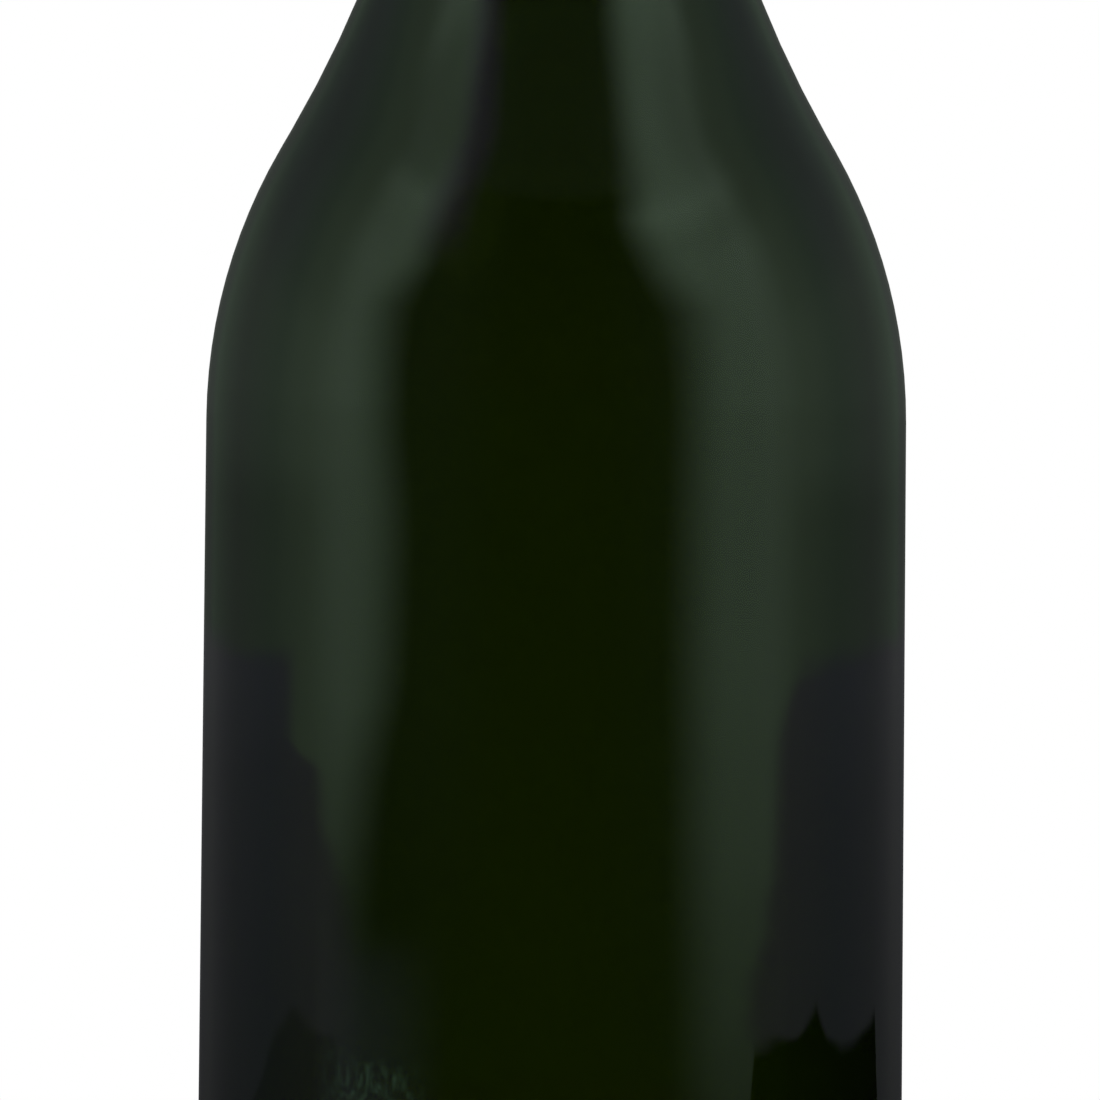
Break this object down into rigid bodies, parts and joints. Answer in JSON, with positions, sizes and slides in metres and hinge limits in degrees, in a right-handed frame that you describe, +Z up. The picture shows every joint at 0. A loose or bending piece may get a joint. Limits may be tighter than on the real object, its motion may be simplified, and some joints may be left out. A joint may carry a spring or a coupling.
{
  "type": "champagne bottle",
  "caption": "Full, corked and wired 750 ml sparkling wine bottle in dark green glass: sloping shoulders, slim neck, locking ring and deep punt, with no label.",
  "frame": {"origin": "centre of the foot ring, on the plane that the bottle stands on", "axes": "+Z up along the bottle's axis; -Y towards the twist key of the wire cage"},
  "size_m": [0.089, 0.089, 0.3243],
  "materials": {
    "glass": "dark green bottle glass, smooth and glossy",
    "wine": "clear pale gold liquid",
    "cork": "agglomerated cork, fine grained and matt",
    "plate": "plain stamped tinplate, satin",
    "wire": "galvanised wire, satin"
  },
  "bodies": {
    "root": {"glass": "glass", "wine": "wine", "cork": "cork", "cap_plate": "plate", "wire_cage": "wire"}
  },
  "joints": []
}
